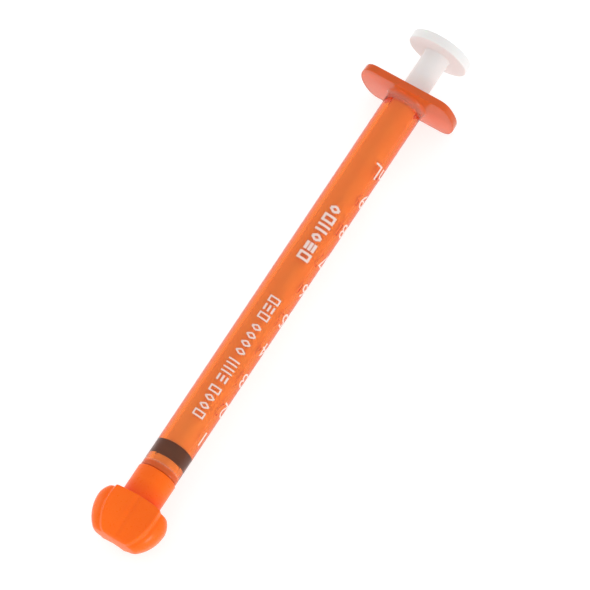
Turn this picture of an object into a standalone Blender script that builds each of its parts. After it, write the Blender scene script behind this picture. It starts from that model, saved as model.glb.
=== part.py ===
"""Oral syringe, 1 mL, with its tip cap on.

The syringe lies along X with the thumb disc toward +X and the tip toward -X.
Its flange is wide in Y and flat in Z, and the cap stands turned on the nozzle
by a few degrees from it.  The floor under the thumb disc is z = 0.
Stations along the axis are given as distances from the flange's back face,
positive toward the tip, and every turned profile runs from the plunger end to
the tip end.
"""
import math

import bmesh
import bpy

MM = 0.001

# barrel: tube, finger flange and oral nozzle in one moulding
BARREL_R_FLANGE = 3.27 * MM
BARREL_R_TIP = 3.22 * MM
BORE_R = 2.325 * MM
BORE_END = 73.95 * MM
BORE_LEAD = 0.4 * MM
BORE_LEAD_RISE = 0.3 * MM
BORE_FLOOR_CHAMFER = 0.2 * MM
SHOULDER = 75.0 * MM
SHOULDER_ROUND = 0.35 * MM
ROOT_FLARE = 0.48 * MM
ROOT_LENGTH = 1.6 * MM
NOZZLE_R_BASE = 2.25 * MM
NOZZLE_R_TIP = 2.0 * MM
NOZZLE_TIP = 83.0 * MM
NOZZLE_ROUND = 0.25 * MM
CHANNEL_R = 0.8 * MM

FLANGE_R = 8.58 * MM
FLANGE_HALF_WIDTH = 5.12 * MM
FLANGE_CORNER_R = 2.1 * MM
FLANGE_THICK = 1.25 * MM
FLANGE_EDGE = 0.15 * MM
TUBE_START = 0.5 * MM

# plunger rod: thumb disc, round stem, neck and head in one moulding
THUMB_OUTER = -9.45 * MM
THUMB_THICK = 1.6 * MM
THUMB_R = 5.25 * MM
THUMB_EDGE = 0.18 * MM
STEM_R = 2.15 * MM
STEM_FILLET = 0.3 * MM
GROOVE_BACK = 69.6 * MM
GROOVE_FRONT = 72.4 * MM
NECK_R = 1.3 * MM
HEAD_R = 2.2 * MM
HEAD_END = 73.8 * MM
HEAD_CHAMFER = 0.3 * MM
STEM_CHAMFER = 0.1 * MM

# seal ring in the groove
SEAL_BACK = 69.7 * MM
SEAL_FRONT = 72.3 * MM
SEAL_R = 2.3 * MM
SEAL_BORE_R = 1.6 * MM
SEAL_CHAMFER = 0.12 * MM

# tip cap: collar, flattened bulb with two wings, blind socket
CAP_RIM = 75.2 * MM
COLLAR_R = 3.35 * MM
COLLAR_EDGE = 0.18 * MM
COLLAR_DEPTH = 82.0 * MM
BULB_TOP = 80.2 * MM
BULB_WIDEST = 82.65 * MM
CAP_BOTTOM = 87.8 * MM
BULB_HALF_WIDTH = 6.14 * MM
BULB_RISE = 4.9 * MM
BULB_DROP = 6.45 * MM
GRIP_DEPTH = 3.75 * MM
GRIP_RISE = 12.0 * MM
GRIP_DROP = 5.88 * MM
GRIP_HALF_WIDTH = 3.95 * MM
GRIP_TAPER = 6.0 * MM
RIDGE_HEIGHT = 0.12 * MM
GRIP_HOLLOW = 0.22 * MM
RIDGE_FLANK = 0.35 * MM
GROOVE_SINK = 0.1 * MM
WING_POWER = 2.5
WING_POINTS = 7
BULB_STATIONS = 17
BULB_TOP_EDGE = 0.18 * MM
CROWN_DROP = 0.45 * MM
CROWN_HALF_WIDTH = 4.2 * MM
BULB_BOTTOM_EDGE = 0.35 * MM
SOCKET_R_MOUTH = 2.38 * MM
SOCKET_R_END = 2.12 * MM
SOCKET_END = 83.6 * MM
SOCKET_LEAD = 0.25 * MM
CAP_TURN = math.radians(7.5)

OVERRUN = 0.5 * MM
TURN_STEPS = 64
ARC_STEPS = 5
SMOOTH_ANGLE = math.radians(32.0)
MERGE = 0.000005

# the axis of the syringe in the world
AXIS_Z = THUMB_R
BACK_X = (CAP_BOTTOM + THUMB_OUTER) / 2.0
ALONG_X = (0.0, math.pi / 2.0, 0.0)
ACROSS_X = (math.pi / 2.0, 0.0, math.pi / 2.0)


def clear_scene():
    for obj in list(bpy.data.objects):
        bpy.data.objects.remove(obj, do_unlink=True)


def make_collection(name):
    collection = bpy.data.collections.new(name)
    bpy.context.scene.collection.children.link(collection)
    return collection


def make_material(name, colour, roughness):
    material = bpy.data.materials.new(name)
    material.use_nodes = True
    shader = material.node_tree.nodes["Principled BSDF"]
    shader.inputs["Base Color"].default_value = (*colour, 1.0)
    shader.inputs["Roughness"].default_value = roughness
    shader.inputs["Metallic"].default_value = 0.0
    return material


def arc(centre_r, centre_d, radius, start_deg, end_deg, steps=ARC_STEPS):
    """Points (r, d) on an arc; 0 degrees points outward, 90 toward the tip."""
    points = []
    for i in range(steps + 1):
        angle = math.radians(start_deg + (end_deg - start_deg) * i / steps)
        r = centre_r + radius * math.cos(angle)
        d = centre_d + radius * math.sin(angle)
        points.append((r, d))
    return points


def add_screw(obj):
    screw = obj.modifiers.new("turn", "SCREW")
    screw.axis = "Z"
    screw.steps = TURN_STEPS
    screw.render_steps = TURN_STEPS
    screw.use_merge_vertices = True
    screw.merge_threshold = MERGE
    screw.use_smooth_shade = True


def turned(name, profile, collection, closed=False):
    """A profile of (r, d) points turned round the syringe's axis."""
    mesh = bpy.data.meshes.new(name)
    verts = [(r, 0.0, -d) for r, d in profile]
    edges = [(i, i + 1) for i in range(len(verts) - 1)]
    if closed:
        edges.append((len(verts) - 1, 0))
    mesh.from_pydata(verts, edges, [])
    obj = bpy.data.objects.new(name, mesh)
    collection.objects.link(obj)
    obj.location = (BACK_X, 0.0, AXIS_Z)
    obj.rotation_euler = ALONG_X
    add_screw(obj)
    return obj


def hide_cutter(obj):
    obj.hide_render = True
    obj.display_type = "WIRE"


def add_boolean(obj, other, operation):
    boolean = obj.modifiers.new(other.name, "BOOLEAN")
    boolean.operation = operation
    boolean.object = other
    boolean.solver = "EXACT"


def flange_outline():
    """Round plate with two parallel flats and rounded corners, as (y, z)."""
    corner_z = FLANGE_HALF_WIDTH - FLANGE_CORNER_R
    corner_y = math.sqrt((FLANGE_R - FLANGE_CORNER_R) ** 2 - corner_z ** 2)
    meet = math.atan2(corner_z, corner_y)
    quarter = []
    for i in range(9):
        angle = meet * i / 8
        quarter.append((FLANGE_R * math.cos(angle), FLANGE_R * math.sin(angle)))
    for i in range(1, 8):
        angle = meet + (math.pi / 2.0 - meet) * i / 7
        y = corner_y + FLANGE_CORNER_R * math.cos(angle)
        z = corner_z + FLANGE_CORNER_R * math.sin(angle)
        quarter.append((y, z))
    mirrored = [(-y, z) for y, z in reversed(quarter)]
    upper = quarter + mirrored
    lower = [(-y, -z) for y, z in upper[1:-1]]
    return upper + lower


def make_flange(collection):
    outline = flange_outline()
    curve = bpy.data.curves.new("flange_curve", "CURVE")
    curve.dimensions = "2D"
    curve.fill_mode = "BOTH"
    curve.extrude = FLANGE_THICK / 2.0 - FLANGE_EDGE
    curve.bevel_depth = FLANGE_EDGE
    curve.bevel_resolution = 1
    curve.offset = -FLANGE_EDGE
    spline = curve.splines.new("POLY")
    spline.points.add(len(outline) - 1)
    for point, (y, z) in zip(spline.points, outline):
        point.co = (y, z, 0.0, 1.0)
    spline.use_cyclic_u = True
    drawn = bpy.data.objects.new("flange_drawn", curve)
    collection.objects.link(drawn)
    drawn.location = (BACK_X - FLANGE_THICK / 2.0, 0.0, AXIS_Z)
    drawn.rotation_euler = ACROSS_X
    bpy.context.view_layer.update()
    graph = bpy.context.evaluated_depsgraph_get()
    mesh = bpy.data.meshes.new_from_object(drawn.evaluated_get(graph))
    weld(mesh)
    flange = bpy.data.objects.new("flange_form", mesh)
    collection.objects.link(flange)
    flange.matrix_world = drawn.matrix_world.copy()
    bpy.data.objects.remove(drawn, do_unlink=True)
    hide_cutter(flange)
    return flange


def weld(mesh):
    bm = bmesh.new()
    bm.from_mesh(mesh)
    bmesh.ops.remove_doubles(bm, verts=bm.verts, dist=MERGE)
    bmesh.ops.recalc_face_normals(bm, faces=bm.faces)
    bm.to_mesh(mesh)
    bm.free()


def root_flare():
    """The tube widens into the flange along a quarter of an ellipse."""
    points = []
    for i in range(1, ARC_STEPS + 1):
        angle = math.pi / 2.0 * i / ARC_STEPS
        r = BARREL_R_FLANGE + ROOT_FLARE * (1.0 - math.sin(angle))
        d = FLANGE_THICK + ROOT_LENGTH * (1.0 - math.cos(angle))
        points.append((r, d))
    return points


def make_barrel(parts, cutters):
    root_r = BARREL_R_FLANGE + ROOT_FLARE
    profile = [(0.0, TUBE_START), (root_r, TUBE_START), (root_r, FLANGE_THICK)]
    profile += root_flare()
    round_r = BARREL_R_TIP - SHOULDER_ROUND
    round_d = SHOULDER - SHOULDER_ROUND
    profile += arc(round_r, round_d, SHOULDER_ROUND, 0, 90)
    profile.append((NOZZLE_R_BASE, SHOULDER))
    tip_r = NOZZLE_R_TIP - NOZZLE_ROUND
    tip_d = NOZZLE_TIP - NOZZLE_ROUND
    profile += arc(tip_r, tip_d, NOZZLE_ROUND, 0, 90, 3)
    profile.append((0.0, NOZZLE_TIP))
    barrel = turned("barrel", profile, parts)

    flange = make_flange(cutters)
    slope = BORE_LEAD_RISE / BORE_LEAD
    bore = [
        (0.0, -OVERRUN),
        (BORE_R + slope * (BORE_LEAD + OVERRUN), -OVERRUN),
        (BORE_R, BORE_LEAD),
        (BORE_R, BORE_END - BORE_FLOOR_CHAMFER),
        (BORE_R - BORE_FLOOR_CHAMFER, BORE_END),
        (CHANNEL_R + BORE_FLOOR_CHAMFER, BORE_END),
        (CHANNEL_R, BORE_END + BORE_FLOOR_CHAMFER),
        (CHANNEL_R, NOZZLE_TIP + OVERRUN),
        (0.0, NOZZLE_TIP + OVERRUN),
    ]
    bore_form = turned("bore_form", bore, cutters)
    hide_cutter(bore_form)
    add_boolean(barrel, flange, "UNION")
    add_boolean(barrel, bore_form, "DIFFERENCE")
    return barrel


def make_plunger_rod(parts):
    under = THUMB_OUTER + THUMB_THICK
    profile = [(0.0, THUMB_OUTER)]
    profile += arc(THUMB_R - THUMB_EDGE, THUMB_OUTER + THUMB_EDGE, THUMB_EDGE, 270, 360, 3)
    profile += arc(THUMB_R - THUMB_EDGE, under - THUMB_EDGE, THUMB_EDGE, 0, 90, 3)
    fillet_r = STEM_R + STEM_FILLET
    profile += arc(fillet_r, under + STEM_FILLET, STEM_FILLET, 270, 180, 4)
    profile += [
        (STEM_R, GROOVE_BACK - STEM_CHAMFER),
        (STEM_R - STEM_CHAMFER, GROOVE_BACK),
        (NECK_R, GROOVE_BACK),
        (NECK_R, GROOVE_FRONT),
        (HEAD_R - STEM_CHAMFER, GROOVE_FRONT),
        (HEAD_R, GROOVE_FRONT + STEM_CHAMFER),
        (HEAD_R, HEAD_END - HEAD_CHAMFER),
        (HEAD_R - HEAD_CHAMFER, HEAD_END),
        (0.0, HEAD_END),
    ]
    return turned("plunger_rod", profile, parts)


def make_plunger_seal(parts):
    outer_r = SEAL_R - SEAL_CHAMFER
    profile = [
        (SEAL_BORE_R, SEAL_BACK),
        (outer_r, SEAL_BACK),
        (SEAL_R, SEAL_BACK + SEAL_CHAMFER),
        (SEAL_R, SEAL_FRONT - SEAL_CHAMFER),
        (outer_r, SEAL_FRONT),
        (SEAL_BORE_R, SEAL_FRONT),
    ]
    return turned("plunger_seal", profile, parts, closed=True)


def half_axis(size, offset, reach):
    """Half-width of an ellipse at an offset from its widest place."""
    return size * math.sqrt(max(1.0 - (offset / reach) ** 2, 0.0))


def wing_depth(y, depth, width):
    share = min(abs(y) / width, 1.0)
    return depth * (1.0 - share ** WING_POWER) ** (1.0 / WING_POWER)


def bulb_quarter(d, inset):
    """One quarter of the bulb's section at station d, as (depth, width)."""
    offset = d - BULB_WIDEST
    width = half_axis(BULB_HALF_WIDTH, offset, BULB_RISE if offset < 0.0 else BULB_DROP)
    depth = half_axis(GRIP_DEPTH, offset, GRIP_RISE if offset < 0.0 else GRIP_DROP)
    ridge = half_axis(GRIP_HALF_WIDTH, offset, GRIP_RISE if offset < 0.0 else GRIP_TAPER)
    width -= inset
    depth -= inset
    ridge -= inset
    points = []
    for share in (0.0, 0.3, 0.58, 0.8, 0.92):
        hollow = GRIP_HOLLOW * (1.0 - share * share)
        points.append((depth - hollow + RIDGE_HEIGHT * share ** 4, ridge * share))
    points.append((depth + RIDGE_HEIGHT * 0.6, ridge))
    foot_y = ridge + RIDGE_FLANK
    foot = wing_depth(foot_y, depth, width) - GROOVE_SINK
    points.append(((depth + foot) / 2.0 + RIDGE_HEIGHT * 0.3, ridge + RIDGE_FLANK * 0.4))
    points.append((foot, foot_y))
    start = math.asin(min(foot_y / width, 1.0))
    for i in range(1, WING_POINTS + 1):
        angle = start + (math.pi / 2.0 - start) * i / WING_POINTS
        y = width * math.sin(angle)
        points.append((wing_depth(y, depth, width), y))
    return points


def crowned(d, y):
    """The bulb's top falls away from its middle toward the wings."""
    fade = max(1.0 - (d - BULB_TOP) / (BULB_WIDEST - BULB_TOP), 0.0)
    return d + CROWN_DROP * fade * min((y / CROWN_HALF_WIDTH) ** 2, 1.0)


def bulb_ring(d, inset):
    quarter = bulb_quarter(d, inset)
    right = quarter + [(-x, y) for x, y in reversed(quarter[:-1])]
    left = [(-x, -y) for x, y in right[1:-1]]
    return [(x, y, -crowned(d, y)) for x, y in right + left]


def close_ring(bm, ring):
    """Closes a ring of the bulb with bands that run straight through its depth."""
    count = len(ring)
    quarter = count // 4
    for i in range(-quarter, quarter):
        a, b = ring[i % count], ring[(i + 1) % count]
        c, d = ring[(2 * quarter - i - 1) % count], ring[(2 * quarter - i) % count]
        corners = []
        for vert in (a, b, c, d):
            if vert not in corners:
                corners.append(vert)
        if len(corners) > 2:
            bm.faces.new(corners)


def bulb_stations():
    """Stations and edge insets from the bulb's top plane to its bottom."""
    first = BULB_TOP + BULB_TOP_EDGE
    last = CAP_BOTTOM - BULB_BOTTOM_EDGE
    stations = [(BULB_TOP, BULB_TOP_EDGE)]
    for i in range(BULB_STATIONS):
        stations.append((first + (last - first) * i / (BULB_STATIONS - 1), 0.0))
    stations.append((CAP_BOTTOM, BULB_BOTTOM_EDGE))
    return stations


def make_bulb(parts):
    bm = bmesh.new()
    rings = []
    for d, inset in bulb_stations():
        rings.append([bm.verts.new(co) for co in bulb_ring(d, inset)])
    count = len(rings[0])
    for upper, lower in zip(rings, rings[1:]):
        for i in range(count):
            j = (i + 1) % count
            bm.faces.new((upper[i], upper[j], lower[j], lower[i]))
    close_ring(bm, rings[0])
    bm.faces.new(list(reversed(rings[-1])))
    bmesh.ops.recalc_face_normals(bm, faces=bm.faces)
    mesh = bpy.data.meshes.new("tip_cap")
    bm.to_mesh(mesh)
    bm.free()
    bulb = bpy.data.objects.new("tip_cap", mesh)
    parts.objects.link(bulb)
    bulb.location = (BACK_X, 0.0, AXIS_Z)
    bulb.rotation_mode = "ZYX"
    bulb.rotation_euler = (CAP_TURN, ALONG_X[1], 0.0)
    return bulb


def make_tip_cap(parts, cutters):
    cap = make_bulb(parts)
    collar = [
        (0.0, CAP_RIM),
        (COLLAR_R - COLLAR_EDGE, CAP_RIM),
        (COLLAR_R, CAP_RIM + COLLAR_EDGE),
        (COLLAR_R, COLLAR_DEPTH),
        (0.0, COLLAR_DEPTH),
    ]
    collar_form = turned("collar_form", collar, cutters)
    hide_cutter(collar_form)
    socket = [
        (0.0, CAP_RIM - OVERRUN),
        (SOCKET_R_MOUTH + SOCKET_LEAD + OVERRUN, CAP_RIM - OVERRUN),
        (SOCKET_R_MOUTH, CAP_RIM + SOCKET_LEAD),
        (SOCKET_R_END, SOCKET_END),
        (0.0, SOCKET_END),
    ]
    socket_form = turned("socket_form", socket, cutters)
    hide_cutter(socket_form)
    add_boolean(cap, collar_form, "UNION")
    add_boolean(cap, socket_form, "DIFFERENCE")
    return cap


def finish(obj, material):
    obj.data.materials.clear()
    obj.data.materials.append(material)
    if obj.data.polygons:
        obj.data.shade_smooth()
        obj.data.set_sharp_from_angle(angle=SMOOTH_ANGLE)


def main():
    clear_scene()
    parts = make_collection("oral_syringe")
    cutters = make_collection("cutters")
    finish(make_barrel(parts, cutters), make_material("barrel_orange", (0.83, 0.20, 0.045), 0.22))
    finish(make_plunger_rod(parts), make_material("rod_white", (0.78, 0.75, 0.72), 0.38))
    finish(make_plunger_seal(parts), make_material("seal_dark", (0.035, 0.032, 0.03), 0.55))
    finish(make_tip_cap(parts, cutters), make_material("cap_orange", (0.95, 0.16, 0.015), 0.33))


main()
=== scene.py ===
"""Oral syringe, 1 mL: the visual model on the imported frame."""
import math

import bmesh  # noqa: E402
import bpy  # noqa: E402
from mathutils import Matrix, Vector  # noqa: E402


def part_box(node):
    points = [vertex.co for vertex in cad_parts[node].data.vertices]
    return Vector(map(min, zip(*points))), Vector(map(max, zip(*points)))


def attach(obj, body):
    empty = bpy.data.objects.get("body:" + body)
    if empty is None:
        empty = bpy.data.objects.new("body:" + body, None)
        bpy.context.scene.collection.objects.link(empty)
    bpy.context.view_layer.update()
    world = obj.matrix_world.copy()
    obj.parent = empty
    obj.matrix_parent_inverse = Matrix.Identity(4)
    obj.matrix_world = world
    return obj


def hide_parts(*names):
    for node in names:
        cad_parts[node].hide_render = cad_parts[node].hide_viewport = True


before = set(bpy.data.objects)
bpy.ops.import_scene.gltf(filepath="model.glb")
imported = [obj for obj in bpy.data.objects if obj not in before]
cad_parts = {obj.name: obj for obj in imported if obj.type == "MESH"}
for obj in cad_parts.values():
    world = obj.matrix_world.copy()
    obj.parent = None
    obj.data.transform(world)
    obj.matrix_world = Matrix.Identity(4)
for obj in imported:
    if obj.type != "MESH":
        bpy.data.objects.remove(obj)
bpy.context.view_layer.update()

MM = 0.001

# ---------------------------------------------------------------- places read from the frame
BARREL_LO, BARREL_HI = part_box("barrel")
ROD_LO, ROD_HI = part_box("plunger_rod")
SEAL_LO, SEAL_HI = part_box("plunger_seal")
CAP_LO, CAP_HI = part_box("tip_cap")
BACK_X = BARREL_HI[0]
AXIS_Z = (BARREL_LO[2] + BARREL_HI[2]) / 2.0
NOZZLE_TIP = BACK_X - BARREL_LO[0]
FLANGE_R = (BARREL_HI[1] - BARREL_LO[1]) / 2.0
FLANGE_HALF_WIDTH = (BARREL_HI[2] - BARREL_LO[2]) / 2.0
THUMB_OUTER = BACK_X - ROD_HI[0]
THUMB_R = (ROD_HI[1] - ROD_LO[1]) / 2.0
HEAD_END = BACK_X - ROD_LO[0]
SEAL_BACK = BACK_X - SEAL_HI[0]
SEAL_FRONT = BACK_X - SEAL_LO[0]
CAP_BOTTOM = BACK_X - CAP_LO[0]
BULB_HALF_WIDTH = (CAP_HI[1] - CAP_LO[1]) / 2.0

# ---------------------------------------------------------------- sizes inside those boxes
BARREL_R_FLANGE = 3.27 * MM
BARREL_R_TIP = 3.22 * MM
BORE_R = 2.325 * MM
BORE_END = 73.95 * MM
SHOULDER = 75.0 * MM
SHOULDER_ROUND = 0.35 * MM
ROOT_FLARE = 0.48 * MM
ROOT_LENGTH = 1.6 * MM
FLANGE_THICK = 1.25 * MM
FLANGE_CORNER_R = 2.1 * MM
FLANGE_EDGE = 0.16 * MM
NOZZLE_R_BASE = 2.25 * MM
NOZZLE_R_TIP = 2.0 * MM
NOZZLE_ROUND = 0.25 * MM
CHANNEL_R = 0.8 * MM
THUMB_THICK = 1.6 * MM
THUMB_EDGE = 0.18 * MM
STEM_R = 2.15 * MM
STEM_FILLET = 0.3 * MM
NECK_R = 1.3 * MM
HEAD_R = 2.2 * MM
SEAL_R = 2.335 * MM
SEAL_BORE_R = 1.6 * MM
COLLAR_TOP = SHOULDER + 0.03 * MM
COLLAR_R = 3.35 * MM
COLLAR_EDGE = 0.18 * MM
BULB_TOP = 80.2 * MM
BULB_WIDEST = 82.65 * MM
BULB_RISE = 4.9 * MM
BULB_DROP = 6.45 * MM
GRIP_DEPTH = 3.75 * MM
GRIP_RISE = 12.0 * MM
GRIP_DROP = 5.88 * MM
GRIP_HALF_WIDTH = 3.95 * MM
GRIP_TAPER = 6.0 * MM
CROWN_DROP = 0.45 * MM
CROWN_HALF_WIDTH = 4.2 * MM
BULB_TOP_EDGE = 0.2 * MM
BULB_BOTTOM_EDGE = 0.4 * MM
PANEL_HOLLOW = 0.22 * MM
PANEL_LIP = 0.10 * MM
CREASE_DEPTH = 0.14 * MM
CREASE_WIDTH = 0.38 * MM
GROOVE_DEPTH = 0.10 * MM
GROOVE_WIDTH = 0.35 * MM
RIDGE_WIDTH = 0.5 * MM
RIDGE_ZONE = 0.6 * MM
COLLAR_DEPTH_IN_BULB = 1.8 * MM
SOCKET_R_MOUTH = 2.38 * MM
SOCKET_R_END = 2.12 * MM
SOCKET_END = 83.6 * MM
CAP_TURN = math.radians(7.5)

TURN_STEPS = 192
ON_AXIS = 1e-9
LONGEST_FACE = 8.0 * MM
NOISE_LOW, NOISE_HIGH = 0.3, 0.7
ALONG_X = Matrix.Rotation(math.pi / 2.0, 4, "Y")
PLACE = Matrix.Translation((BACK_X, 0.0, AXIS_Z)) @ ALONG_X


# ---------------------------------------------------------------- node helpers
class Nodes:
    """Short calls for building a material's node tree."""

    def __init__(self, name):
        self.material = bpy.data.materials.new(name)
        self.material.use_nodes = True
        self.tree = self.material.node_tree
        self.tree.nodes.clear()
        self.out = self.add("ShaderNodeOutputMaterial")

    def add(self, kind, **values):
        node = self.tree.nodes.new(kind)
        for key, value in values.items():
            setattr(node, key, value)
        return node

    def link(self, a, b):
        self.tree.links.new(a, b)

    def noise(self, scale, detail=3.0, rough=0.5):
        coords = self.add("ShaderNodeTexCoord")
        noise = self.add("ShaderNodeTexNoise")
        noise.inputs["Scale"].default_value = scale
        noise.inputs["Detail"].default_value = detail
        noise.inputs["Roughness"].default_value = rough
        self.link(coords.outputs["Object"], noise.inputs["Vector"])
        return noise.outputs["Fac"]

    def ramp(self, source, low, high):
        ramp = self.add("ShaderNodeValToRGB")
        ramp.color_ramp.elements[0].position = NOISE_LOW
        ramp.color_ramp.elements[1].position = NOISE_HIGH
        ramp.color_ramp.elements[0].color = (*low, 1.0)
        ramp.color_ramp.elements[1].color = (*high, 1.0)
        self.link(source, ramp.inputs["Fac"])
        return ramp.outputs["Color"]

    def span(self, source, low, high):
        span = self.add("ShaderNodeMapRange")
        span.inputs["From Min"].default_value = NOISE_LOW
        span.inputs["From Max"].default_value = NOISE_HIGH
        span.inputs["To Min"].default_value = low
        span.inputs["To Max"].default_value = high
        self.link(source, span.inputs["Value"])
        return span.outputs["Result"]

    def along(self, start, end):
        """0 up to the station start, rising to 1 at the station end and past it."""
        coords = self.add("ShaderNodeTexCoord")
        parts = self.add("ShaderNodeSeparateXYZ")
        self.link(coords.outputs["Object"], parts.inputs[0])
        span = self.add("ShaderNodeMapRange")
        span.inputs["From Min"].default_value = BACK_X - start
        span.inputs["From Max"].default_value = BACK_X - end
        self.link(parts.outputs["X"], span.inputs["Value"])
        return span.outputs["Result"]

    def larger(self, a, b):
        node = self.add("ShaderNodeMath", operation="MAXIMUM")
        self.link(a, node.inputs[0])
        self.link(b, node.inputs[1])
        return node.outputs[0]

    def between(self, source, low, high):
        span = self.add("ShaderNodeMapRange")
        span.inputs["To Min"].default_value = low
        span.inputs["To Max"].default_value = high
        self.link(source, span.inputs["Value"])
        return span.outputs["Result"]

    def mix(self, source, a, b):
        mix = self.add("ShaderNodeMix", data_type="RGBA")
        self.link(source, mix.inputs["Factor"])
        self.link(a, mix.inputs[6])
        self.link(b, mix.inputs[7])
        return mix.outputs[2]

    def bump(self, source, distance, strength=0.3):
        bump = self.add("ShaderNodeBump")
        bump.inputs["Distance"].default_value = distance
        bump.inputs["Strength"].default_value = strength
        self.link(source, bump.inputs["Height"])
        return bump.outputs["Normal"]


def barrel_plastic():
    n = Nodes("barrel_orange_plastic")
    shader = n.add("ShaderNodeBsdfPrincipled")
    cloud = n.noise(220.0, 2.0)
    grain = n.noise(2600.0, 3.0, 0.6)
    plate = n.along(FLANGE_THICK + 1.6 * MM, FLANGE_THICK + 0.2 * MM)
    tip = n.along(BORE_END - 0.3 * MM, BORE_END + 0.1 * MM)
    solid = n.larger(plate, tip)
    clear = n.ramp(cloud, (1.0, 0.78, 0.55), (1.0, 0.82, 0.60))
    milky = n.ramp(cloud, (0.93, 0.16, 0.02), (0.95, 0.18, 0.03))
    n.link(n.mix(solid, clear, milky), shader.inputs["Base Color"])
    n.link(n.between(solid, 1.0, 0.45), shader.inputs["Transmission Weight"])
    n.link(n.span(grain, 0.03, 0.06), shader.inputs["Roughness"])
    n.link(n.bump(grain, 0.00001, 0.25), shader.inputs["Normal"])
    shader.inputs["IOR"].default_value = 1.45
    shader.inputs["Specular IOR Level"].default_value = 0.18
    n.link(shader.outputs[0], n.out.inputs["Surface"])
    absorb = n.add("ShaderNodeVolumeAbsorption")
    absorb.inputs["Color"].default_value = (0.96, 0.58, 0.04, 1.0)
    absorb.inputs["Density"].default_value = 1400.0
    n.link(absorb.outputs[0], n.out.inputs["Volume"])
    return n.material


def rod_plastic():
    n = Nodes("rod_white_plastic")
    shader = n.add("ShaderNodeBsdfPrincipled")
    cloud = n.noise(160.0, 2.0)
    grain = n.noise(2200.0, 4.0, 0.6)
    # the rod's part inside the barrel is painted lighter and pinker than its part outside: painted light
    # that makes up for the light lost through the barrel wall
    rod_outside_colour = n.ramp(cloud, (0.79, 0.785, 0.775), (0.82, 0.815, 0.805))
    inside_painted_light = n.ramp(cloud, (0.93, 0.86, 0.82), (0.96, 0.89, 0.85))
    n.link(n.mix(n.along(-1.0 * MM, 3.0 * MM), rod_outside_colour, inside_painted_light), shader.inputs["Base Color"])
    n.link(n.span(grain, 0.34, 0.46), shader.inputs["Roughness"])
    n.link(n.bump(grain, 0.00001, 0.3), shader.inputs["Normal"])
    shader.inputs["Subsurface Weight"].default_value = 0.35
    shader.inputs["Subsurface Scale"].default_value = 0.001
    shader.inputs["Subsurface Radius"].default_value = (1.0, 0.8, 0.7)
    n.link(shader.outputs[0], n.out.inputs["Surface"])
    return n.material


def seal_rubber():
    n = Nodes("seal_dark_rubber")
    shader = n.add("ShaderNodeBsdfPrincipled")
    cloud = n.noise(500.0, 3.0)
    grain = n.noise(3800.0, 4.0, 0.7)
    n.link(n.ramp(cloud, (0.110, 0.085, 0.050), (0.135, 0.105, 0.064)), shader.inputs["Base Color"])
    n.link(n.span(grain, 0.45, 0.62), shader.inputs["Roughness"])
    n.link(n.bump(grain, 0.00002, 0.4), shader.inputs["Normal"])
    n.link(shader.outputs[0], n.out.inputs["Surface"])
    return n.material


def cap_plastic():
    n = Nodes("cap_orange_plastic")
    shader = n.add("ShaderNodeBsdfPrincipled")
    cloud = n.noise(180.0, 2.0)
    grain = n.noise(2400.0, 4.0, 0.6)
    orange = n.ramp(cloud, (0.97, 0.134, 0.001), (0.985, 0.150, 0.003))
    # the collar darkens toward the bulb's top: painted shade where the collar meets the bulb
    collar_painted_shade = n.ramp(cloud, (0.82, 0.070, 0.001), (0.86, 0.080, 0.002))
    collar = n.mix(n.along(77.2 * MM, 80.0 * MM), orange, collar_painted_shade)
    bulb = n.along(BULB_TOP - 0.1 * MM, BULB_TOP + 0.1 * MM)
    n.link(n.mix(bulb, collar, orange), shader.inputs["Base Color"])
    n.link(n.span(grain, 0.26, 0.33), shader.inputs["Roughness"])
    n.link(n.bump(grain, 0.000012, 0.3), shader.inputs["Normal"])
    shader.inputs["Subsurface Weight"].default_value = 0.15
    shader.inputs["Subsurface Scale"].default_value = 0.001
    shader.inputs["Subsurface Radius"].default_value = (1.0, 0.35, 0.15)
    shader.inputs["Specular IOR Level"].default_value = 0.22
    n.link(shader.outputs[0], n.out.inputs["Surface"])
    return n.material


def ink_paint():
    n = Nodes("scale_ink")
    shader = n.add("ShaderNodeBsdfPrincipled")
    grain = n.noise(3000.0, 4.0, 0.7)
    n.link(n.ramp(grain, (0.80, 0.60, 0.54), (0.87, 0.69, 0.63)), shader.inputs["Base Color"])
    n.link(n.span(grain, 0.45, 0.6), shader.inputs["Roughness"])
    n.link(n.bump(grain, 0.00001, 0.3), shader.inputs["Normal"])
    n.link(shader.outputs[0], n.out.inputs["Surface"])
    return n.material


def floor_paper():
    n = Nodes("floor_paper")
    shader = n.add("ShaderNodeBsdfPrincipled")
    grain = n.noise(60.0, 5.0, 0.6)
    n.link(n.ramp(grain, (0.45, 0.45, 0.45), (0.49, 0.49, 0.49)), shader.inputs["Base Color"])
    shader.inputs["Roughness"].default_value = 0.8
    shader.inputs["Emission Color"].default_value = (1.0, 1.0, 1.0, 1.0)
    shader.inputs["Emission Strength"].default_value = 0.67
    n.link(shader.outputs[0], n.out.inputs["Surface"])
    return n.material


# ---------------------------------------------------------------- shape helpers
def arc(centre_r, centre_d, radius, start_deg, end_deg, steps=8):
    """Points (r, d) on an arc; 0 degrees points outward, 90 toward the tip."""
    points = []
    for i in range(steps + 1):
        angle = math.radians(start_deg + (end_deg - start_deg) * i / steps)
        points.append((centre_r + radius * math.cos(angle), centre_d + radius * math.sin(angle)))
    return points


def refine(profile, longest):
    """Splits a profile's long straight runs, so that the faces stay compact."""
    out = [profile[0]]
    for (r0, d0), (r1, d1) in zip(profile, profile[1:]):
        count = max(1, math.ceil(math.hypot(r1 - r0, d1 - d0) / longest))
        for i in range(1, count + 1):
            out.append((r0 + (r1 - r0) * i / count, d0 + (d1 - d0) * i / count))
    return out


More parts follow.
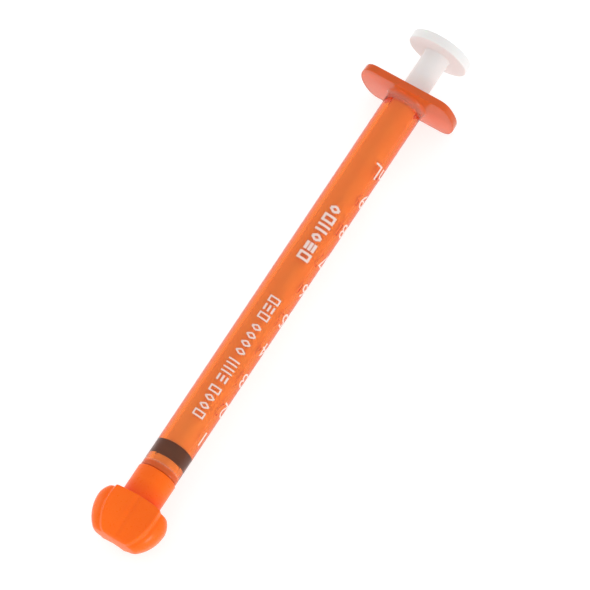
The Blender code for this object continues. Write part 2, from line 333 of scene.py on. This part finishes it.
def mesh_object(name, bm, matrix=None):
    bmesh.ops.recalc_face_normals(bm, faces=bm.faces)
    if matrix is not None:
        bmesh.ops.transform(bm, matrix=matrix, verts=bm.verts)
    mesh = bpy.data.meshes.new(name)
    bm.to_mesh(mesh)
    bm.free()
    obj = bpy.data.objects.new(name, mesh)
    bpy.context.scene.collection.objects.link(obj)
    return obj


def smooth(obj, degrees=30.0):
    obj.data.shade_smooth()
    obj.data.set_sharp_from_angle(angle=math.radians(degrees))


def turned(name, profile, closed=False):
    """A profile of (r, d) points turned round the syringe's axis."""
    bm = bmesh.new()
    rings = []
    for r, d in profile:
        if r < ON_AXIS:
            rings.append([bm.verts.new((0.0, 0.0, -d))])
            continue
        ring = []
        for i in range(TURN_STEPS):
            angle = 2.0 * math.pi * i / TURN_STEPS
            ring.append(bm.verts.new((r * math.cos(angle), r * math.sin(angle), -d)))
        rings.append(ring)
    pairs = list(zip(rings, rings[1:]))
    if closed:
        pairs.append((rings[-1], rings[0]))
    for a, b in pairs:
        for i in range(TURN_STEPS):
            j = (i + 1) % TURN_STEPS
            if len(a) == 1:
                bm.faces.new((a[0], b[j], b[i]))
            elif len(b) == 1:
                bm.faces.new((a[i], a[j], b[0]))
            else:
                bm.faces.new((a[i], a[j], b[j], b[i]))
    return mesh_object(name, bm, PLACE)


def boolean(obj, other, operation):
    modifier = obj.modifiers.new(operation.lower(), "BOOLEAN")
    modifier.operation = operation
    modifier.object = other
    modifier.solver = "EXACT"
    graph = bpy.context.evaluated_depsgraph_get()
    mesh = bpy.data.meshes.new_from_object(obj.evaluated_get(graph))
    obj.modifiers.clear()
    old = obj.data
    obj.data = mesh
    bpy.data.meshes.remove(old)
    bpy.data.objects.remove(other, do_unlink=True)


def take_material(obj, material):
    obj.data.materials.clear()
    obj.data.materials.append(material)


# ---------------------------------------------------------------- barrel
def flange_outline():
    """Round plate with two parallel flats and rounded corners, as (y, z)."""
    corner_z = FLANGE_HALF_WIDTH - FLANGE_CORNER_R
    corner_y = math.sqrt((FLANGE_R - FLANGE_CORNER_R) ** 2 - corner_z ** 2)
    meet = math.atan2(corner_z, corner_y)
    quarter = []
    for i in range(17):
        angle = meet * i / 16
        quarter.append((FLANGE_R * math.cos(angle), FLANGE_R * math.sin(angle)))
    for i in range(1, 15):
        angle = meet + (math.pi / 2.0 - meet) * i / 14
        y = corner_y + FLANGE_CORNER_R * math.cos(angle)
        z = corner_z + FLANGE_CORNER_R * math.sin(angle)
        quarter.append((y, z))
    mirrored = [(-y, z) for y, z in reversed(quarter)]
    upper = quarter + mirrored
    lower = [(-y, -z) for y, z in upper[1:-1]]
    return upper + lower


def outline_normals(points):
    normals = []
    count = len(points)
    for i in range(count):
        y0, z0 = points[i - 1]
        y1, z1 = points[(i + 1) % count]
        length = math.hypot(y1 - y0, z1 - z0)
        normals.append(((z1 - z0) / length, -(y1 - y0) / length))
    return normals


def make_flange_form():
    outline = flange_outline()
    normals = outline_normals(outline)
    profile = []
    for i in range(5):
        angle = math.radians(90.0 * i / 4)
        profile.append((1.0 - math.sin(angle), FLANGE_EDGE * (1.0 - math.cos(angle))))
    for i in range(5):
        angle = math.radians(90.0 * i / 4)
        profile.append((1.0 - math.cos(angle), FLANGE_THICK - FLANGE_EDGE * (1.0 - math.sin(angle))))
    bm = bmesh.new()
    rings = []
    for inset, d in profile:
        ring = []
        for (y, z), (ny, nz) in zip(outline, normals):
            shift = FLANGE_EDGE * inset
            ring.append(bm.verts.new((BACK_X - d, y - ny * shift, AXIS_Z + z - nz * shift)))
        rings.append(ring)
    count = len(outline)
    for a, b in zip(rings, rings[1:]):
        for i in range(count):
            j = (i + 1) % count
            bm.faces.new((a[i], a[j], b[j], b[i]))
    bm.faces.new(rings[0])
    bm.faces.new(list(reversed(rings[-1])))
    return mesh_object("flange_form", bm)


def make_barrel():
    root_r = BARREL_R_FLANGE + ROOT_FLARE
    profile = [(0.0, 0.5 * MM), (root_r, 0.5 * MM), (root_r, FLANGE_THICK)]
    for i in range(1, 13):
        angle = math.pi / 2.0 * i / 12
        r = BARREL_R_FLANGE + ROOT_FLARE * (1.0 - math.sin(angle))
        profile.append((r, FLANGE_THICK + ROOT_LENGTH * (1.0 - math.cos(angle))))
    profile += arc(BARREL_R_TIP - SHOULDER_ROUND, SHOULDER - SHOULDER_ROUND, SHOULDER_ROUND, 0, 90)
    profile.append((NOZZLE_R_BASE, SHOULDER))
    profile += arc(NOZZLE_R_TIP - NOZZLE_ROUND, NOZZLE_TIP - NOZZLE_ROUND, NOZZLE_ROUND, 0, 90)
    profile.append((0.0, NOZZLE_TIP))
    barrel = turned("barrel_body", refine(profile, LONGEST_FACE))
    boolean(barrel, make_flange_form(), "UNION")
    bore = [
        (0.0, -0.5 * MM),
        (3.0 * MM, -0.5 * MM),
        (BORE_R, 0.4 * MM),
        (BORE_R, BORE_END - 0.04 * MM),
        (BORE_R - 0.04 * MM, BORE_END),
        (CHANNEL_R + 0.2 * MM, BORE_END),
        (CHANNEL_R, BORE_END + 0.2 * MM),
        (CHANNEL_R, NOZZLE_TIP + 0.5 * MM),
        (0.0, NOZZLE_TIP + 0.5 * MM),
    ]
    boolean(barrel, turned("bore_form", refine(bore, LONGEST_FACE)), "DIFFERENCE")
    smooth(barrel)
    return barrel


# ---------------------------------------------------------------- plunger
def make_rod():
    under = THUMB_OUTER + THUMB_THICK
    groove_back = SEAL_BACK - 0.03 * MM
    groove_front = SEAL_FRONT + 0.02 * MM
    profile = [(0.0, THUMB_OUTER)]
    profile += arc(THUMB_R - THUMB_EDGE, THUMB_OUTER + THUMB_EDGE, THUMB_EDGE, 270, 360, 6)
    profile += arc(THUMB_R - THUMB_EDGE, under - THUMB_EDGE, THUMB_EDGE, 0, 90, 6)
    profile += arc(STEM_R + STEM_FILLET, under + STEM_FILLET, STEM_FILLET, 270, 180, 6)
    profile += [
        (STEM_R, groove_back - 0.1 * MM),
        (STEM_R - 0.1 * MM, groove_back),
        (NECK_R, groove_back),
        (NECK_R, groove_front),
        (HEAD_R - 0.03 * MM, groove_front),
        (HEAD_R, groove_front + 0.03 * MM),
    ]
    profile += arc(HEAD_R - 0.3 * MM, HEAD_END - 0.3 * MM, 0.3 * MM, 0, 90, 6)
    profile.append((0.0, HEAD_END))
    rod = turned("plunger_rod_body", refine(profile, LONGEST_FACE))
    smooth(rod)
    return rod


def make_seal():
    edge = 0.03 * MM
    profile = [(SEAL_BORE_R, SEAL_BACK), (SEAL_R - edge, SEAL_BACK)]
    profile += arc(SEAL_R - edge, SEAL_BACK + edge, edge, 270, 360, 5)[1:]
    profile += arc(SEAL_R - edge, SEAL_FRONT - edge, edge, 0, 90, 5)
    profile.append((SEAL_BORE_R, SEAL_FRONT))
    seal = turned("plunger_seal_ring", profile, closed=True)
    smooth(seal)
    return seal


# ---------------------------------------------------------------- tip cap
def half_axis(size, offset, reach):
    return size * math.sqrt(max(1.0 - (offset / reach) ** 2, 0.0))


def wing_depth(y, depth, width):
    share = min(abs(y) / width, 1.0)
    return depth * (1.0 - share ** 2.5) ** 0.4


def ease(x):
    x = min(max(x, 0.0), 1.0)
    return x * x * (3.0 - 2.0 * x)


def bulb_surface(y, depth, width, ridge):
    """Depth of the bulb's front at width y: hollowed grip panel with a crease, ridge, groove, wing."""
    wing = wing_depth(y, depth, width)
    share = y / ridge
    panel = depth - PANEL_HOLLOW * (1.0 - share * share) + PANEL_LIP * min(share, 1.0) ** 4
    panel -= CREASE_DEPTH * math.exp(-((y / CREASE_WIDTH) ** 2))
    groove = wing - GROOVE_DEPTH * math.exp(-(((y - ridge - RIDGE_WIDTH) / GROOVE_WIDTH) ** 2))
    return panel + (groove - panel) * ease((y - ridge) / RIDGE_WIDTH)


def crowned(d, y):
    """The bulb's top falls away from its middle toward the wings."""
    fade = max(1.0 - (d - BULB_TOP) / (BULB_WIDEST - BULB_TOP), 0.0)
    return d + CROWN_DROP * fade * min((y / CROWN_HALF_WIDTH) ** 2, 1.0)


def close_ring(bm, ring):
    """Closes a ring of the bulb with bands that run straight through its depth."""
    count = len(ring)
    quarter = count // 4
    for i in range(-quarter, quarter):
        corners = []
        for k in (i, i + 1, 2 * quarter - i - 1, 2 * quarter - i):
            if ring[k % count] not in corners:
                corners.append(ring[k % count])
        if len(corners) > 2:
            bm.faces.new(corners)


def bulb_ring(d, inset):
    offset = d - BULB_WIDEST
    rising = offset < 0.0
    width = half_axis(BULB_HALF_WIDTH, offset, BULB_RISE if rising else BULB_DROP) - inset
    depth = half_axis(GRIP_DEPTH, offset, GRIP_RISE if rising else GRIP_DROP) - inset
    ridge = half_axis(GRIP_HALF_WIDTH, offset, GRIP_RISE if rising else GRIP_TAPER) - inset
    quarter = []
    for i in range(22):
        y = ridge * i / 22
        quarter.append((bulb_surface(y, depth, width, ridge), y))
    for i in range(12):
        y = ridge + RIDGE_ZONE * i / 12
        quarter.append((bulb_surface(y, depth, width, ridge), y))
    start = math.asin(min((ridge + RIDGE_ZONE) / width, 0.98))
    for i in range(25):
        angle = start + (math.pi / 2.0 - start) * i / 24
        y = width * math.sin(angle)
        quarter.append((bulb_surface(y, depth, width, ridge) if i < 24 else 0.0, y))
    right = quarter + [(-x, y) for x, y in reversed(quarter[:-1])]
    left = [(-x, -y) for x, y in right[1:-1]]
    return [(x, y, -crowned(d, y)) for x, y in right + left]


def make_cap():
    stations = []
    for i in range(6):
        angle = math.radians(90.0 * i / 6)
        rise, inset = 1.0 - math.cos(angle), 1.0 - math.sin(angle)
        stations.append((BULB_TOP + BULB_TOP_EDGE * rise, BULB_TOP_EDGE * inset))
    straight = CAP_BOTTOM - BULB_BOTTOM_EDGE - BULB_TOP - BULB_TOP_EDGE
    for i in range(49):
        share = i / 48
        stations.append((BULB_TOP + BULB_TOP_EDGE + straight * share, 0.0))
    for i in range(1, 7):
        angle = math.radians(90.0 * i / 6)
        rise, inset = 1.0 - math.sin(angle), 1.0 - math.cos(angle)
        stations.append((CAP_BOTTOM - BULB_BOTTOM_EDGE * rise, BULB_BOTTOM_EDGE * inset))
    bm = bmesh.new()
    rings = [[bm.verts.new(co) for co in bulb_ring(d, inset)] for d, inset in stations]
    count = len(rings[0])
    for a, b in zip(rings, rings[1:]):
        for i in range(count):
            j = (i + 1) % count
            bm.faces.new((a[i], a[j], b[j], b[i]))
    close_ring(bm, rings[0])
    bm.faces.new(list(reversed(rings[-1])))
    cap = mesh_object("tip_cap_body", bm, PLACE @ Matrix.Rotation(CAP_TURN, 4, "Z"))
    collar = [(0.0, COLLAR_TOP)]
    collar += arc(COLLAR_R - COLLAR_EDGE, COLLAR_TOP + COLLAR_EDGE, COLLAR_EDGE, 270, 360, 6)
    collar += [(COLLAR_R, BULB_TOP + COLLAR_DEPTH_IN_BULB), (0.0, BULB_TOP + COLLAR_DEPTH_IN_BULB)]
    boolean(cap, turned("collar_form", collar), "UNION")
    socket = [
        (0.0, COLLAR_TOP - 0.5 * MM),
        (SOCKET_R_MOUTH + 0.75 * MM, COLLAR_TOP - 0.5 * MM),
        (SOCKET_R_MOUTH, COLLAR_TOP + 0.25 * MM),
        (SOCKET_R_END, SOCKET_END),
        (0.0, SOCKET_END),
    ]
    boolean(cap, turned("socket_form", socket), "DIFFERENCE")
    smooth(cap, 28.0)
    return cap


# ---------------------------------------------------------------- printing
INK_LIFT = 0.02 * MM
SCALE_ZERO = SEAL_FRONT + 0.1 * MM
DIVISION = 5.89 * MM
TEXT_ANGLE = 16.5
DIGIT_ANGLE = TEXT_ANGLE + 53.0
LABEL_ANGLE = TEXT_ANGLE + 25.0
LINE_GAP = 4.0
GLYPH_HEIGHT = 2.5 * MM
BAND = 0.15 * MM
LABEL_SHIFT = 0.9 * MM
LONG_LINE, MIDDLE_LINE, SHORT_LINE = 34.0, 24.0, 15.0
THICK_HALF, THIN_HALF = 0.11 * MM, 0.08 * MM


def barrel_radius(d):
    share = min(max((d - FLANGE_THICK) / (SHOULDER - FLANGE_THICK), 0.0), 1.0)
    return BARREL_R_FLANGE + (BARREL_R_TIP - BARREL_R_FLANGE) * share


def wrap(d, around):
    """World point of ink on the barrel: station d, and angle from +Z toward -Y."""
    r = barrel_radius(d) + INK_LIFT
    return (BACK_X - d, -r * math.sin(around), AXIS_Z + r * math.cos(around))


def ink_strip(bm, d0, d1, a0, a1):
    """A rectangle of ink between stations d0, d1 and angles a0, a1 (radians)."""
    columns = max(1, math.ceil(abs(a1 - a0) / math.radians(3.0)))
    rows = max(1, math.ceil(abs(d1 - d0) / (1.0 * MM)))
    grid = []
    for i in range(rows + 1):
        d = d0 + (d1 - d0) * i / rows
        grid.append([bm.verts.new(wrap(d, a0 + (a1 - a0) * j / columns)) for j in range(columns + 1)])
    for i in range(rows):
        for j in range(columns):
            bm.faces.new((grid[i][j], grid[i][j + 1], grid[i + 1][j + 1], grid[i + 1][j]))


def text_mesh(text, height):
    """Flat mesh of a text in metres, its lower left corner at the origin."""
    curve = bpy.data.curves.new("glyphs", "FONT")
    curve.body = text
    curve.size = 1.0
    curve.space_word = 0.4
    curve.resolution_u = 4
    curve.fill_mode = "FRONT"
    obj = bpy.data.objects.new("glyphs", curve)
    bpy.context.scene.collection.objects.link(obj)
    bpy.context.view_layer.update()
    graph = bpy.context.evaluated_depsgraph_get()
    mesh = bpy.data.meshes.new_from_object(obj.evaluated_get(graph))
    bm = bmesh.new()
    bm.from_mesh(mesh)
    bpy.data.meshes.remove(mesh)
    bpy.data.objects.remove(obj, do_unlink=True)
    bpy.data.curves.remove(curve)
    lo = Vector((min(v.co.x for v in bm.verts), min(v.co.y for v in bm.verts), 0.0))
    hi = Vector((max(v.co.x for v in bm.verts), max(v.co.y for v in bm.verts), 0.0))
    scale = height / (hi.y - lo.y)
    for v in bm.verts:
        v.co = (v.co - lo) * scale
    return bm, (hi.x - lo.x) * scale


def cut_across(bm, step, width):
    """Splits a flat mesh into narrow bands, so that it can bend round the barrel."""
    x = step
    while x < width:
        geometry = bm.verts[:] + bm.edges[:] + bm.faces[:]
        bmesh.ops.bisect_plane(bm, geom=geometry, plane_co=(x, 0.0, 0.0), plane_no=(1.0, 0.0, 0.0))
        x += step


def make_scale():
    bm = bmesh.new()
    for tenth in range(1, 10):
        glyph, width = text_mesh(str(tenth), GLYPH_HEIGHT)
        cut_across(glyph, BAND, width)
        centre = SCALE_ZERO - tenth * DIVISION
        add_glyph(bm, glyph, centre, width, DIGIT_ANGLE)
    glyph, width = text_mesh("1 mL", GLYPH_HEIGHT)
    cut_across(glyph, BAND, width)
    add_glyph(bm, glyph, SCALE_ZERO - 10 * DIVISION + LABEL_SHIFT, width, LABEL_ANGLE)
    start = math.radians(LABEL_ANGLE + LINE_GAP) + width / BARREL_R_TIP
    for step in range(0, 101):
        d = SCALE_ZERO - step * DIVISION / 10.0
        reach = LONG_LINE if step % 10 == 0 else MIDDLE_LINE if step % 5 == 0 else SHORT_LINE
        thick = THICK_HALF if step % 10 == 0 else THIN_HALF
        ink_strip(bm, d - thick, d + thick, start, start + math.radians(reach))
    return mesh_object("scale_print", bm)


def on_line(d, side):
    """World point of a mark: station d, and side measured round the barrel from its visible middle."""
    return wrap(d, math.radians(TEXT_ANGLE) + side / barrel_radius(d))


def ink_line(bm, start, end, width):
    """A straight stroke of ink between two (d, side) points."""
    along_d, along_s = end[0] - start[0], end[1] - start[1]
    length = math.hypot(along_d, along_s)
    unit_d, unit_s = along_d / length, along_s / length
    steps = max(1, math.ceil(length / (0.25 * MM)))
    rows = []
    for i in range(steps + 1):
        d = start[0] + along_d * i / steps
        side = start[1] + along_s * i / steps
        row = []
        for shift in (-0.5, 0.0, 0.5):
            point = on_line(d - unit_s * width * shift, side + unit_d * width * shift)
            row.append(bm.verts.new(point))
        rows.append(row)
    for a, b in zip(rows, rows[1:]):
        for j in range(2):
            bm.faces.new((a[j], a[j + 1], b[j + 1], b[j]))


def ink_loop(bm, points, width):
    """A closed outline of ink through (d, side) points, joined by its corners."""
    for a, b in zip(points, points[1:] + points[:1]):
        ink_line(bm, a, b, width)


def mark_box(bm, centre, size, height, pen):
    d0, d1, s1 = centre - size / 2.0, centre + size / 2.0, height / 2.0
    half = pen / 2.0
    for s in (-s1 + half, s1 - half):
        ink_line(bm, (d0, s), (d1, s), pen)
    for d in (d0 + half, d1 - half):
        ink_line(bm, (d, -s1 + pen), (d, s1 - pen), pen)


def mark_gem(bm, centre, size, height, pen):
    d0, d1, s1 = centre - size / 2.0 + pen / 2.0, centre + size / 2.0 - pen / 2.0, height / 2.0 - pen * 0.7
    ink_loop(bm, [(d0, 0.0), (centre, s1), (d1, 0.0), (centre, -s1)], pen)


def mark_bars(bm, centre, size, height, pen):
    for shift in (-0.32, 0.32):
        d = centre + size * shift
        ink_line(bm, (d, -height / 2.0), (d, height / 2.0), pen)


def mark_dots(bm, centre, size, height, pen):
    for s in (-height / 2.0 + pen, 0.0, height / 2.0 - pen):
        ink_line(bm, (centre - size / 2.0, s), (centre + size / 2.0, s), pen * 1.3)


def make_marks():
    """Two rows of plain geometric marks, a long light one and a short bold one."""
    bm = bmesh.new()
    shapes = {"b": mark_box, "g": mark_gem, "i": mark_bars, "d": mark_dots}
    for pattern, start, size, gap, space, height, pen in (
        ("bdb gggg iid bggb", 41.0 * MM, 1.15 * MM, 0.42 * MM, 1.0 * MM, 2.0 * MM, 0.27 * MM),
        ("gbigdb", 22.9 * MM, 1.45 * MM, 0.38 * MM, 1.0 * MM, 2.2 * MM, 0.42 * MM),
    ):
        d = start
        for mark in pattern:
            if mark == " ":
                d += space - gap
                continue
            shapes[mark](bm, d + size / 2.0, size, height, pen)
            d += size + gap
    return mesh_object("row_marks", bm)


def add_glyph(bm, glyph, centre, width, right_edge_deg):
    """Lays a glyph on the barrel, upright when the tip points up."""
    height = max(v.co.y for v in glyph.verts)
    for v in glyph.verts:
        d = centre + v.co.y - height / 2.0
        around = math.radians(right_edge_deg) + (width - v.co.x) / barrel_radius(d)
        v.co = Vector(wrap(d, around))
    spare = bpy.data.meshes.new("spare")
    glyph.to_mesh(spare)
    glyph.free()
    bm.from_mesh(spare)
    bpy.data.meshes.remove(spare)


# ---------------------------------------------------------------- floor, light, camera
VIEW_TILT = math.radians(17.0)
VIEW_TURN = math.radians(16.5)
VIEW_LEAN = math.radians(33.72)
FRAME_WIDTH = 92.65 * MM
LENS = 800.0
SENSOR = 36.0
AIM_STATION = 37.97 * MM
AIM_SIDE = 2.2 * MM
CLIP_NEAR, CLIP_FAR = 0.01, 100.0
FLOOR_HALF = 1.2
SKY_STRENGTH = 0.88
KEY_PLACE, KEY_AIM, KEY_SIZE, KEY_POWER = (-0.22, -0.50, 0.10), (-0.04, 0.0, 0.005), 0.17, 0.75
FILL_PLACE, FILL_AIM, FILL_SIZE, FILL_POWER = (-0.10, 0.52, 0.18), (0.0, 0.0, 0.005), 0.30, 0.3


def make_camera():
    down = Vector((0.0, math.sin(VIEW_TURN), -math.cos(VIEW_TURN)))
    forward = math.sin(VIEW_TILT) * Vector((1.0, 0.0, 0.0)) + math.cos(VIEW_TILT) * down
    side = Vector((0.0, -math.cos(VIEW_TURN), -math.sin(VIEW_TURN)))
    along = math.cos(VIEW_TILT) * Vector((1.0, 0.0, 0.0)) - math.sin(VIEW_TILT) * down
    right = math.sin(VIEW_LEAN) * along + math.cos(VIEW_LEAN) * side
    up = math.cos(VIEW_LEAN) * along - math.sin(VIEW_LEAN) * side
    aim = Vector((BACK_X - AIM_STATION, 0.0, AXIS_Z)) + AIM_SIDE * side
    distance = LENS / SENSOR * FRAME_WIDTH
    place = aim - forward * distance
    data = bpy.data.cameras.new("camera")
    data.lens = LENS
    data.sensor_width = SENSOR
    data.clip_start = CLIP_NEAR
    data.clip_end = CLIP_FAR
    camera = bpy.data.objects.new("camera", data)
    bpy.context.scene.collection.objects.link(camera)
    matrix = Matrix((
        (right.x, up.x, -forward.x, place.x),
        (right.y, up.y, -forward.y, place.y),
        (right.z, up.z, -forward.z, place.z),
        (0.0, 0.0, 0.0, 1.0),
    ))
    camera.matrix_world = matrix
    bpy.context.scene.camera = camera


def area_light(name, place, target, size, power):
    data = bpy.data.lights.new(name, "AREA")
    data.shape = "RECTANGLE"
    data.size = size
    data.size_y = size
    data.energy = power
    light = bpy.data.objects.new(name, data)
    bpy.context.scene.collection.objects.link(light)
    light.location = place
    direction = Vector(target) - Vector(place)
    light.rotation_euler = direction.to_track_quat("-Z", "Y").to_euler()


def make_stage():
    bm = bmesh.new()
    bmesh.ops.create_grid(bm, x_segments=4, y_segments=4, size=FLOOR_HALF)
    floor = mesh_object("floor", bm)
    take_material(floor, floor_paper())
    world = bpy.data.worlds.new("studio")
    world.use_nodes = True
    background = world.node_tree.nodes["Background"]
    background.inputs["Color"].default_value = (1.0, 1.0, 1.0, 1.0)
    background.inputs["Strength"].default_value = SKY_STRENGTH
    bpy.context.scene.world = world
    area_light("key", KEY_PLACE, KEY_AIM, KEY_SIZE, KEY_POWER)
    area_light("fill", FILL_PLACE, FILL_AIM, FILL_SIZE, FILL_POWER)
    bpy.context.scene.view_settings.view_transform = "Standard"
    # sharp light paths through the barrel, so that the rod inside is fully lit
    bpy.context.scene.cycles.blur_glossy = 0.0


def main():
    barrel = make_barrel()
    take_material(barrel, barrel_plastic())
    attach(barrel, "barrel")
    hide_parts("barrel")
    rod = make_rod()
    take_material(rod, rod_plastic())
    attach(rod, "plunger")
    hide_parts("plunger_rod")
    seal = make_seal()
    take_material(seal, seal_rubber())
    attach(seal, "seal")
    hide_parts("plunger_seal")
    cap = make_cap()
    take_material(cap, cap_plastic())
    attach(cap, "cap")
    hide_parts("tip_cap")
    scale = make_scale()
    take_material(scale, ink_paint())
    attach(scale, "barrel")
    marks = make_marks()
    take_material(marks, scale.data.materials[0])
    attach(marks, "barrel")
    make_stage()
    make_camera()


main()
